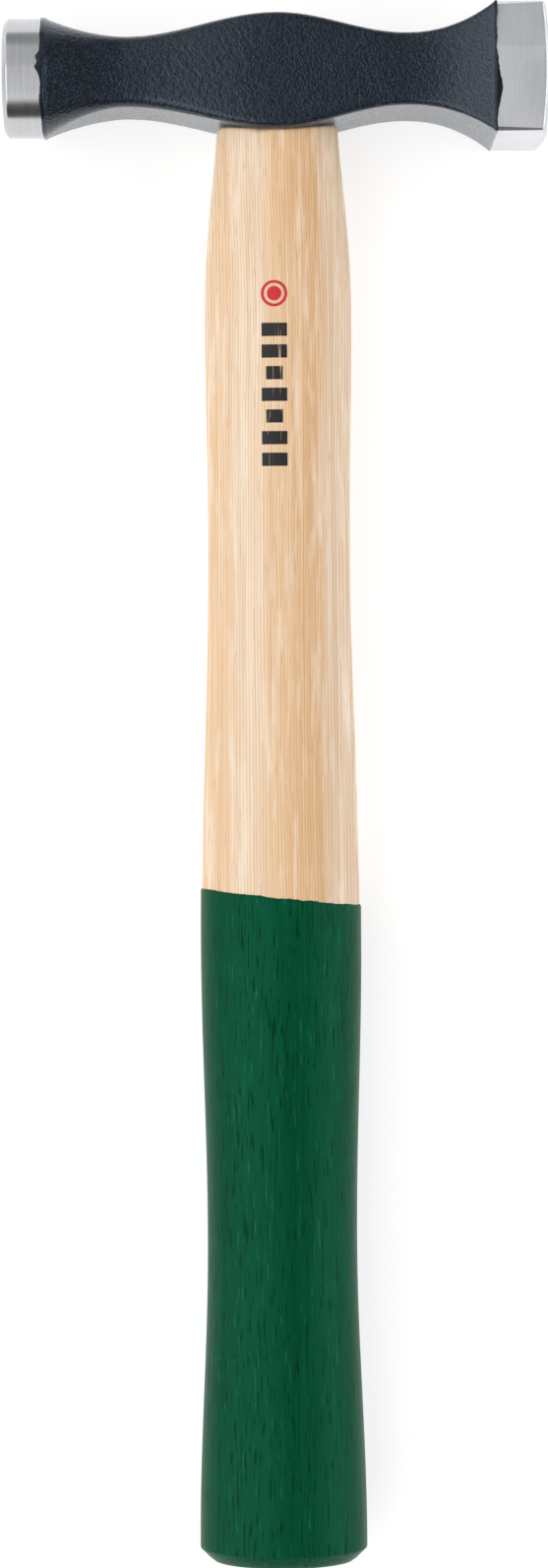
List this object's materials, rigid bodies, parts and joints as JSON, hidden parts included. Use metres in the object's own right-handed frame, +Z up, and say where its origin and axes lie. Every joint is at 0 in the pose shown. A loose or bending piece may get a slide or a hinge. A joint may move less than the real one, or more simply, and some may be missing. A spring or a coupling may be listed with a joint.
{
  "type": "planishing hammer",
  "caption": "Double-faced planishing hammer: coated forged steel head with a round flat face and a square domed face, wedged on an oval wooden handle with a dipped grip.",
  "frame": {"origin": "on the bench, under the middle of the hammer's outline", "axes": "the hammer lies on its side: +Z up, handle towards -Y, head at +Y with its round face towards -X and its square face towards +X"},
  "size_m": [0.112, 0.32, 0.0264],
  "materials": {
    "bare_steel": "ground and finely brushed",
    "black_coating": "satin blue-black structured coating",
    "handle_wood": "pale straight-grained ash or hickory, thin clear finish",
    "green_dip": "satin dark green dipped paint, wood pores showing through",
    "wedge_wood": "sawn hardwood end",
    "wedge_steel": "plain cut steel"
  },
  "bodies": {
    "root": {"steel_head": "bare_steel", "head_coating": "black_coating", "wood_handle": "handle_wood", "handle_dip": "green_dip", "wood_wedge": "wedge_wood", "steel_wedge": "wedge_steel"}
  },
  "joints": []
}
